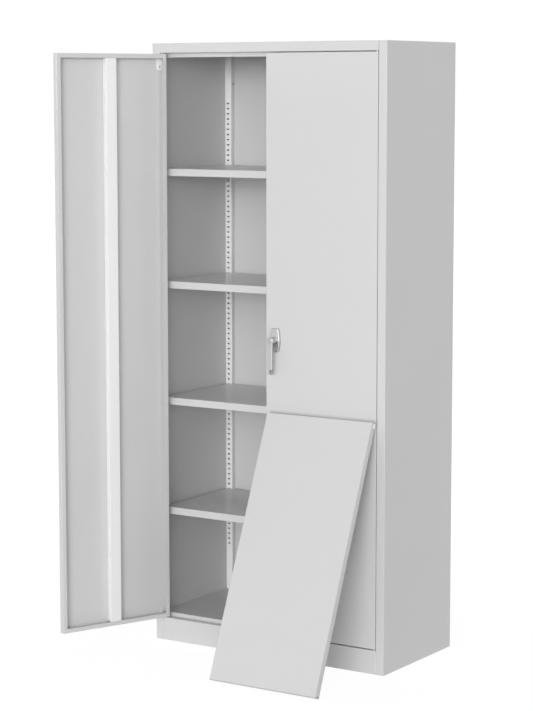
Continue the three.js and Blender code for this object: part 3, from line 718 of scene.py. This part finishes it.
def fastener_row(tree, head, finish, count, start, step=(0, 0, 0), turn=INWARDS):
    row = empty_mesh("row")
    use_tree(row, tree, {"Count": count, "Start": start, "Step": step, "Turn": turn, "Head": head,
                         "Finish": finish_for(finish)})
    return baked_copy(row)


# Operators

class CUPBOARD_OT_finishes(bpy.types.Operator):
    """Makes the four finishes."""

    bl_idname = "cupboard.finishes"
    bl_label = "Make the finishes"

    def execute(self, context):
        given = sizes("cupboard_finish")
        handle = sizes("cupboard_handle")
        sheet = sizes("cupboard_ladder").thickness
        sharp = (0.3 * MM,) * 3

        # Painted shadows: a painted contact shadow on the door in the band where the spare shelf leans on
        # it, and painted shade on the edge on which that shelf stands
        shelf_low, shelf_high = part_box("spare_shelf")
        door_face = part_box("door_right")[0].y
        band_low, band_high = shelf_high.z - 9 * MM, shelf_high.z - 2.3 * MM
        edge_back, edge_top = shelf_low.y + 20 * MM, shelf_low.z + 9.2 * MM
        painted_shadows = (
            ((shelf_low.x, door_face - 1 * MM, band_low), (shelf_high.x, door_face, band_high),
             (10 * MM, 0.5 * MM, 10 * MM), 0.24),
            ((shelf_low.x, shelf_low.y, 0), (shelf_high.x, edge_back, edge_top), (0.4 * MM,) * 3, 0.35),
        )
        sprayed_finish("finish_grey_powder_coat", given.coat_colour, given.coat_roughness,
                       given.peel_size, 0.05 * MM, 0.03, painted_shadows)

        # Painted shade inside the front and the rear uprights, seen through the slots, and on the rear ones'
        # inner flanks
        front_low, front_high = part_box("upright_front_right")
        rear_low, rear_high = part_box("upright_rear_right")
        painted_hollow_shade = (
            (front_low + Vector((sheet, 0, 0)), front_high - Vector((sheet, sheet, 0)), sharp, 0.7),
            (rear_low + Vector((sheet, sheet, 0)), rear_high - Vector((sheet, 0, 0)), sharp, 0.7),
            (rear_low + Vector((-sheet, 2 * sheet, 0)), (rear_low.x, *rear_high.yz), (sheet / 2,) * 3, 0.17),
        )
        sprayed_finish("finish_white_paint", given.enamel_colour, given.enamel_roughness,
                       given.peel_size * 1.5, 0.03 * MM, 0.02, painted_hollow_shade)

        # Painted shade in the finger scoop, darker in its deep part under the boss, and painted shade on the
        # curl at the lever's end
        tip = handle.axis_z - handle.lever_reach
        scoop_half = 9 * MM
        left, right = handle.axis_x - scoop_half, handle.axis_x + scoop_half
        scoop_high = (right, -2 * MM, handle.axis_z - 6 * MM)
        curl_low = (handle.axis_x + 1 * MM, -handle.lever_front, tip + 9 * MM)
        curl_high = (handle.axis_x + 6 * MM, -18 * MM, tip + 15 * MM)
        chrome_finish("finish_polished_chrome", given.chrome_colour, given.chrome_roughness, (
            ((left, -handle.plate_depth, handle.axis_z - 32 * MM), scoop_high, sharp, 0.3),
            ((left, -handle.plate_depth, handle.axis_z - 19 * MM), scoop_high, (5 * MM,) * 3, 0.14),
            (curl_low, curl_high, (2 * MM,) * 3, 0.65),
        ))
        zinc_finish("finish_zinc_steel", given.zinc_colour, given.zinc_roughness)
        return {"FINISHED"}


class CUPBOARD_OT_sheet_metal(bpy.types.Operator):
    """Gives every solid of the frame its finish, rounded cut edges and soft bends."""

    bl_idname = "cupboard.sheet_metal"
    bl_label = "Finish the sheet metal"

    def execute(self, context):
        given = sizes("cupboard_finish")
        corner = radians(50)
        tree = soft_shade_tree()
        for name, node in NODES.items():
            finish = finish_for(SLOT_OF[name])
            node.data.materials.clear()
            node.data.materials.append(finish)
            modify(node, "WELD", merge_threshold=0.001 * MM)
            modify(node, "DECIMATE", decimate_type="DISSOLVE", angle_limit=radians(0.5))
            modify(node, "BEVEL", width=given.edge_radius, segments=2, limit_method="ANGLE",
                   angle_limit=corner)
            use_tree(node, tree, {"Corner": corner, "Finish": finish})
            modify(node, "WEIGHTED_NORMAL", keep_sharp=True)
        return {"FINISHED"}


class CUPBOARD_OT_uprights(bpy.types.Operator):
    """Builds the slotted uprights, slot by slot."""

    bl_idname = "cupboard.uprights"
    bl_label = "Build the uprights"

    def execute(self, context):
        tree = ladder_tree()
        for node in NODES:
            if node.startswith("upright_"):
                build_upright(node, tree)
        return {"FINISHED"}


class CUPBOARD_OT_handle(bpy.types.Operator):
    """Builds the handle's plate, lever and key plug."""

    bl_idname = "cupboard.handle"
    bl_label = "Build the handle"

    def execute(self, context):
        given = sizes("cupboard_handle")
        to_axis = Matrix.Translation((given.axis_x, 0, given.axis_z))
        for build, body, slot, node in (
                (handle_plate, "right_door", "polished_chrome", "handle_plate"),
                (handle_lever, "handle", "polished_chrome", "handle_lever"),
                (key_plug, "key_plug", "zinc_steel", "key_plug")):
            finish_piece(moved(build(given), to_axis), body, slot, node)
        return {"FINISHED"}


def outward(piece):
    """Turns a body made about z so that it stands out of the door, towards -y."""
    return moved(piece, Matrix.Rotation(pi / 2, 4, "X"))


def plate_outline(given, inset, count=14):
    """Outline of the escutcheon in x and z, drawn inwards by inset."""
    half = given.plate_height / 2 - inset
    corner = max(3.5 * MM - inset * 0.5, 0.6 * MM)

    def half_width(z):
        share = 1 - (z / (given.plate_height / 2)) ** 2
        return given.plate_end / 2 + (given.plate_middle - given.plate_end) / 2 * share - inset

    heights = [(half - corner) * (1 - 2 * step / count) for step in range(count + 1)]
    top = [(half_width(half - corner) - corner * (1 - cos(a)), half - corner * (1 - sin(a)))
           for a in map(radians, (90, 68, 45, 22))]
    side = top + [(half_width(z), z) for z in heights] + [(x, -z) for x, z in reversed(top)]
    return side + [(-x, z) for x, z in reversed(side)]


def handle_plate(given):
    """Bowed escutcheon with a rolled rim, a collar round the axis and the finger scoop."""
    depth = given.plate_depth
    sunk = 0.3 * MM
    rim = 1.8 * MM
    rings = [[(x, -sunk, z) for x, z in plate_outline(given, 0)]]
    for turn in map(radians, (0, 20, 40, 60, 78, 90)):
        y = -sunk - (depth - rim) - rim * sin(turn)
        rings.append([(x, y, z) for x, z in plate_outline(given, rim * (1 - cos(turn)))])
    plate = loft("handle_escutcheon", rings)

    low, high = rim - given.plate_height / 2, -5 * MM
    scoop_half = 9.5 * MM
    floor = depth - 5.5 * MM
    scoop = []
    for out, inset in ((floor, 2.2 * MM), (floor + 0.5 * MM, 0.9 * MM), (floor + 1.6 * MM, 0.2 * MM),
                       (depth + 3 * MM, -0.4 * MM)):
        outline = rounded_box((scoop_half - inset, (high - low) / 2 - inset), 3.4 * MM, 5)
        scoop.append([(x, -out - sunk, z + (low + high) / 2) for x, z in outline])
    plate = combine(plate, loft("scoop", scoop), "DIFFERENCE")

    collar = [(9.5 * MM, 2 * MM), (9.5 * MM, depth + 2.6 * MM), (9.1 * MM, depth + 3 * MM)]
    collar = turned("collar", [(radius, height + sunk) for radius, height in collar], ROUND)
    plate = combine(plate, outward(collar), "UNION")
    bore = 6.25 * MM
    hole = outward(turned("hole", [(bore, -2 * MM), (bore, depth + 6 * MM)], ROUND))
    return eased(combine(plate, hole, "DIFFERENCE"), 0.35 * MM, 40)


def handle_lever(given):
    """Round boss and hanging arm; the arm's end is round and curls towards the door."""
    reach = given.lever_reach
    curl, round_end, swing = 13 * MM, 6.5 * MM, 9 * MM
    rings = []
    for share in (0.0, 0.2, 0.4, 0.6, 0.78, 0.86, 0.91, 0.95, 0.98, 0.995):
        z = -reach * share
        into_curl = max(0.0, (reach * share - (reach - curl)) / curl)
        into_end = max(0.0, (reach * share - (reach - round_end)) / round_end)
        width = (given.lever_width / 2 - 1 * MM * share) * sqrt(max(0.0, 1 - into_end ** 2))
        width = max(width, 1.2 * MM)
        thick = given.lever_depth / 2 * (1 - 0.35 * into_curl)
        y = given.lever_depth / 2 - given.lever_front + swing * (1 - sqrt(max(0.0, 1 - into_curl ** 2)))
        outline = rounded_box((width, thick), min(thick * 0.95, width * 0.95, 1.1 * MM), 6)
        rings.append([(x, y + dy, z) for x, dy in outline])
    arm = loft("arm", rings)

    back = given.plate_depth + 3.6 * MM
    top = given.lever_front
    radius = given.boss_radius
    lever = outward(turned("swing_lever", [
        (radius - 0.5 * MM, back), (radius, back + 0.5 * MM), (radius, top - 2.2 * MM),
        (radius - 0.35 * MM, top - 1.2 * MM), (radius - 1.1 * MM, top - 0.4 * MM),
        (radius - 2 * MM, top)], 48))
    lever = combine(lever, arm, "UNION")
    plug_bore = 6.4 * MM
    bore = outward(turned("bore", [(plug_bore, top - 8.3 * MM), (plug_bore, top + 2 * MM)], ROUND))
    lever = combine(lever, bore, "DIFFERENCE")
    spindle = 4.3 * MM * sqrt(2)
    socket = turned("socket", [(spindle, back - 2 * MM), (spindle, back + 12 * MM)], 4)
    moved(socket, Matrix.Rotation(pi / 4, 4, "Z"))
    return eased(combine(lever, outward(socket), "DIFFERENCE"), 0.3 * MM, 45)


def key_plug(given):
    """Key plug with a rounded face and its keyway."""
    top = given.lever_front + 0.4 * MM
    radius = 5.7 * MM
    plug = outward(turned("lock_plug", [
        (radius, given.lever_front - 8 * MM), (radius, top - 0.5 * MM), (radius - 0.5 * MM, top)], ROUND))
    for name, half, corner, x, z in (
            ("keyway", (0.8 * MM, 3.5 * MM), 0.5 * MM, 0, 0),
            ("ward", (0.9 * MM, 0.6 * MM), 0.3 * MM, 0.9 * MM, 0.8 * MM)):
        cutter = loft(name, [[(x + dx, y, z + dz) for dx, dz in rounded_box(half, corner, 3)]
                             for y in (-top - 1 * MM, -top + 3 * MM)])
        plug = combine(plug, cutter, "DIFFERENCE")
    return eased(plug, 0.15 * MM, 45)


def bracket_eyelets(given, tree, head, side_name):
    """The hollow rivets of one door's hinge brackets, whose straps lie on the door's skin."""
    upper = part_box("hinge_bracket_right_top")[0]
    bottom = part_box("hinge_bracket_right_bottom")[1].z - given.strap_hole
    across = SIDES[side_name] * (upper.x + given.strap_width / 2)
    row = fastener_row(tree, head, "zinc_steel", 2, (across, upper.y + given.strap_sheet, bottom),
                       (0, 0, upper.z + given.strap_hole - bottom))
    if side_name == "left":
        near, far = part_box("hinge_pin_left_top")
        hinge = Matrix.Translation(((near.x + far.x) / 2, (near.y + far.y) / 2, 0))
        moved(row, hinge @ Matrix.Rotation(-given.door_open, 4, "Z") @ hinge.inverted())
    row.name = f"{side_name}_bracket_eyelets"
    return row


def back_rivets(given, tree, head):
    """The low rivets round the edge of the back panel."""
    low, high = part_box("back_panel")
    width = high.x - low.x - 2 * given.back_edge
    height = high.z - low.z
    rows = [(5, (side * width / 2, high.y, height / 18), (0, 0, height * 2 / 9)) for side in SIDES.values()]
    rows += [(3, (-width / 4, high.y, level), (width / 4, 0, 0))
             for level in (height / 25, height - given.back_edge / 2)]
    return joined("back_rivets", [fastener_row(tree, head, "grey_powder_coat", *row) for row in rows])


def upright_rivets(given, tree, head):
    """The pan heads that hold the rear uprights' flanges."""
    rows = []
    for side_name, side in SIDES.items():
        low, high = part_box(f"upright_rear_{side_name}")
        inner = low.x if side > 0 else high.x
        rows.append(fastener_row(
            tree, head, "zinc_steel", 2, (inner, high.y - 8 * MM, given.lower_rivet),
            (0, 0, given.upper_rivet - given.lower_rivet), (0, -side * pi / 2, 0)))
    return joined("upright_rivets", rows)


def lock_screws(given, tree, screw):
    """The screws of the rod guides and of the handle's plate."""
    handle = sizes("cupboard_handle")
    foot = 2 * given.screw_radius
    reach = handle.plate_height / 2 - 7.5 * MM
    rows = []
    for part in ("rod_guide_lower", "rod_guide_upper"):
        low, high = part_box(part)
        rows.append(((low.x + foot / 2, low.y + given.foot_sheet, (low.z + high.z) / 2),
                     (high.x - low.x - foot, 0, 0)))
    rows.append(((handle.axis_x, 0.8 * MM, handle.axis_z - reach), (0, 0, 2 * reach)))
    return joined("lock_door_screws", [fastener_row(tree, screw, "zinc_steel", 2, *row) for row in rows])


class CUPBOARD_OT_fasteners(bpy.types.Operator):
    """Sets the rivets of the carcass and the doors, and the screws of the lock."""

    bl_idname = "cupboard.fasteners"
    bl_label = "Set the fasteners"

    def execute(self, context):
        given = sizes("cupboard_fasteners")
        handle = sizes("cupboard_handle")
        tree = row_tree()
        steps = given.head_steps
        dome = rivet_head("dome", given.rivet_radius, given.rivet_height, steps)
        flat = rivet_head("flat", given.flat_radius, given.flat_height, steps)
        screw = screw_head("screw", given.screw_radius, given.screw_height, steps)
        hollow = eyelet("hollow", given.eyelet_radius, given.eyelet_bore, given.strap_sheet, steps)
        spindle_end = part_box("lock_spindle")[1].y
        cam_screw = fastener_row(tree, screw, "zinc_steel", 1, (handle.axis_x, spindle_end, handle.axis_z))
        cam_screw.name = "cam_screw"
        for piece, body, slot in (
                (upright_rivets(given, tree, dome), "cabinet", "zinc_steel"),
                (back_rivets(given, tree, flat), "cabinet", "grey_powder_coat"),
                (lock_screws(given, tree, screw), "right_door", "zinc_steel"),
                (cam_screw, "handle", "zinc_steel"),
                (bracket_eyelets(given, tree, hollow, "left"), "left_door", "zinc_steel"),
                (bracket_eyelets(given, tree, hollow, "right"), "right_door", "zinc_steel")):
            smooth_by_angle(piece, 45)
            finish_piece(piece, body, slot)
        for head in (dome, flat, screw, hollow):
            bpy.data.objects.remove(head)
        return {"FINISHED"}


class CUPBOARD_OT_pads(bpy.types.Operator):
    """Puts soft pads on the spare shelf's upper corners, which lean on the door."""

    bl_idname = "cupboard.pads"
    bl_label = "Put on the shelf's pads"

    def execute(self, context):
        given = sizes("cupboard_fasteners")
        corner = max((vertex.co for vertex in NODES["spare_shelf"].data.vertices),
                     key=lambda place: (round(place.y, 5), place.z))
        down = Vector((0, -sin(given.shelf_lean), -cos(given.shelf_lean)))
        out = Vector((0, -cos(given.shelf_lean), sin(given.shelf_lean)))
        low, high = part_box("spare_shelf")
        half = (given.pad_length / 2, given.pad_width / 2)
        pads = []
        for side, face in ((-1, low.x), (1, high.x)):
            rings = []
            for away, inset in ((0.05, 0.3 * MM), (0.4, 0), (0.7, 0), (1, 0.3 * MM)):
                middle = Vector((face + side * away * given.pad_thickness, corner.y, corner.z))
                ring = rounded_box((half[0] - inset, half[1] - inset), given.pad_width / 5, 5)
                rings.append([middle + down * (half[0] + u) + out * (half[1] + v) for u, v in ring])
            pads.append(loft("pad", rings))
        pads = joined("spare_shelf_pads", pads)
        smooth_by_angle(pads, 50)
        finish_piece(pads, "spare_shelf", "white_paint")
        return {"FINISHED"}


def bearing(azimuth, elevation):
    """The direction to something seen from the cupboard, by its bearing from the front and its height."""
    return Vector((sin(azimuth) * cos(elevation), -cos(azimuth) * cos(elevation), sin(elevation)))


def camera_axes(given):
    """The camera's right, up and back directions."""
    back = bearing(given.azimuth, given.elevation)
    right = Vector((0, 0, 1)).cross(back).normalized()
    up = back.cross(right)
    turn = given.roll
    return right * cos(turn) + up * sin(turn), up * cos(turn) - right * sin(turn), back


def soft_lamp(name, azimuth, elevation, spread, power):
    """A far, broad lamp; its bearing from the front and its height over the floor are in degrees."""
    data = bpy.data.lights.new(name, "SUN")
    data.energy = power
    data.angle = spread
    lamp = add_object(name, data)
    lamp.rotation_mode = "QUATERNION"
    lamp.rotation_quaternion = bearing(radians(azimuth), radians(elevation)).to_track_quat("Z", "Y")


def seen_ray(recipe):
    """1 for rays that see the backdrop: from the camera, or by way of metal or glass."""
    path = recipe.node("ShaderNodeLightPath")
    return (path["Is Camera Ray"] + path["Is Glossy Ray"] + path["Is Transmission Ray"]).at_most(1.0)


class CUPBOARD_OT_stage(bpy.types.Operator):
    """Sets the floor, the backdrop, the lamps and the camera."""

    bl_idname = "cupboard.stage"
    bl_label = "Set the stage"

    def execute(self, context):
        given = sizes("cupboard_stage")
        scene = context.scene
        shape = bmesh.new()
        bmesh.ops.create_grid(shape, x_segments=2, y_segments=2, size=given.floor_reach)
        floor = moved(mesh_object("floor", shape), Matrix.Translation((0, 0, -0.5 * MM)))
        recipe, place = new_finish("pale_floor")
        paint = recipe.node("ShaderNodeBsdfDiffuse", {"Color": (*given.floor_colour, 1)})["BSDF"]
        glow = recipe.node("ShaderNodeEmission", {"Color": (1, 1, 1, 1), "Strength": given.floor_glow})
        away = recipe.node("ShaderNodeVectorMath", {0: place}, operation="LENGTH")["Value"]
        nearness = recipe.node("ShaderNodeMapRange", {
            "Value": away, "From Min": given.floor_near, "From Max": given.floor_fade,
            "To Min": given.floor_shadow, "To Max": 0.0}, interpolation_type="SMOOTHSTEP")["Result"]
        share = seen_ray(recipe) * (1 - nearness)
        mixed = recipe.node("ShaderNodeMixShader", {0: share, 1: paint, 2: glow["Emission"]})["Shader"]
        recipe.node("ShaderNodeOutputMaterial", {"Surface": mixed})
        floor.data.materials.append(bpy.data.materials["pale_floor"])

        world = bpy.data.worlds.new("backdrop")
        world.use_nodes = True
        scene.world = world
        recipe = Recipe(world.node_tree)
        level = given.world_level + seen_ray(recipe) * (1 - given.world_level)
        light = recipe.node("ShaderNodeBackground", {"Color": (1, 1, 1, 1), "Strength": level})
        recipe.node("ShaderNodeOutputWorld", {"Surface": light["Background"]})

        soft_lamp("front_lamp", 20, 4, given.front_spread, given.front_lamp)
        soft_lamp("inner_lamp", 20, 0, given.narrow_spread, given.inner_lamp)
        soft_lamp("left_lamp", -68, 3, given.narrow_spread, given.left_lamp)
        soft_lamp("right_lamp", 75, 6, given.narrow_spread, given.right_lamp)

        data = bpy.data.cameras.new("camera")
        data.sensor_width = 36
        data.lens = given.lens_pixels * data.sensor_width / PICTURE_HEIGHT
        data.clip_end = 100
        camera = add_object("camera", data)
        axes = Matrix(camera_axes(given)).transposed().to_4x4()
        camera.matrix_world = Matrix.Translation(given.camera) @ axes
        scene.camera = camera
        scene.view_settings.view_transform = "Standard"
        return {"FINISHED"}


class CUPBOARD_PT_panel(bpy.types.Panel):
    """Lists the steps in the order in which they are run."""

    bl_idname = "CUPBOARD_PT_panel"
    bl_label = "Storage cupboard"
    bl_space_type = "VIEW_3D"
    bl_region_type = "UI"
    bl_category = "Cupboard"

    def draw(self, context):
        for operator in STEPS:
            self.layout.operator(operator.bl_idname)
        for name in GROUPS:
            group = getattr(context.scene, name)
            box = self.layout.box()
            for key in group.__annotations__:
                box.prop(group, key)


STEPS = [CUPBOARD_OT_finishes, CUPBOARD_OT_sheet_metal, CUPBOARD_OT_uprights, CUPBOARD_OT_handle,
         CUPBOARD_OT_fasteners, CUPBOARD_OT_pads, CUPBOARD_OT_stage]
GROUPS = {
    "cupboard_finish": FinishSizes,
    "cupboard_ladder": LadderSizes,
    "cupboard_fasteners": FastenerSizes,
    "cupboard_handle": HandleSizes,
    "cupboard_stage": StageSizes,
}


def register():
    for kind in (*GROUPS.values(), *STEPS, CUPBOARD_PT_panel):
        bpy.utils.register_class(kind)
    for name, group in GROUPS.items():
        setattr(bpy.types.Scene, name, PointerProperty(type=group))


def unregister():
    for name in GROUPS:
        delattr(bpy.types.Scene, name)
    for kind in (CUPBOARD_PT_panel, *reversed(STEPS), *GROUPS.values()):
        bpy.utils.unregister_class(kind)


def main():
    register()
    for operator in STEPS:
        prefix, name = operator.bl_idname.split(".")
        getattr(getattr(bpy.ops, prefix), name)()


if __name__ == "__main__":
    main()
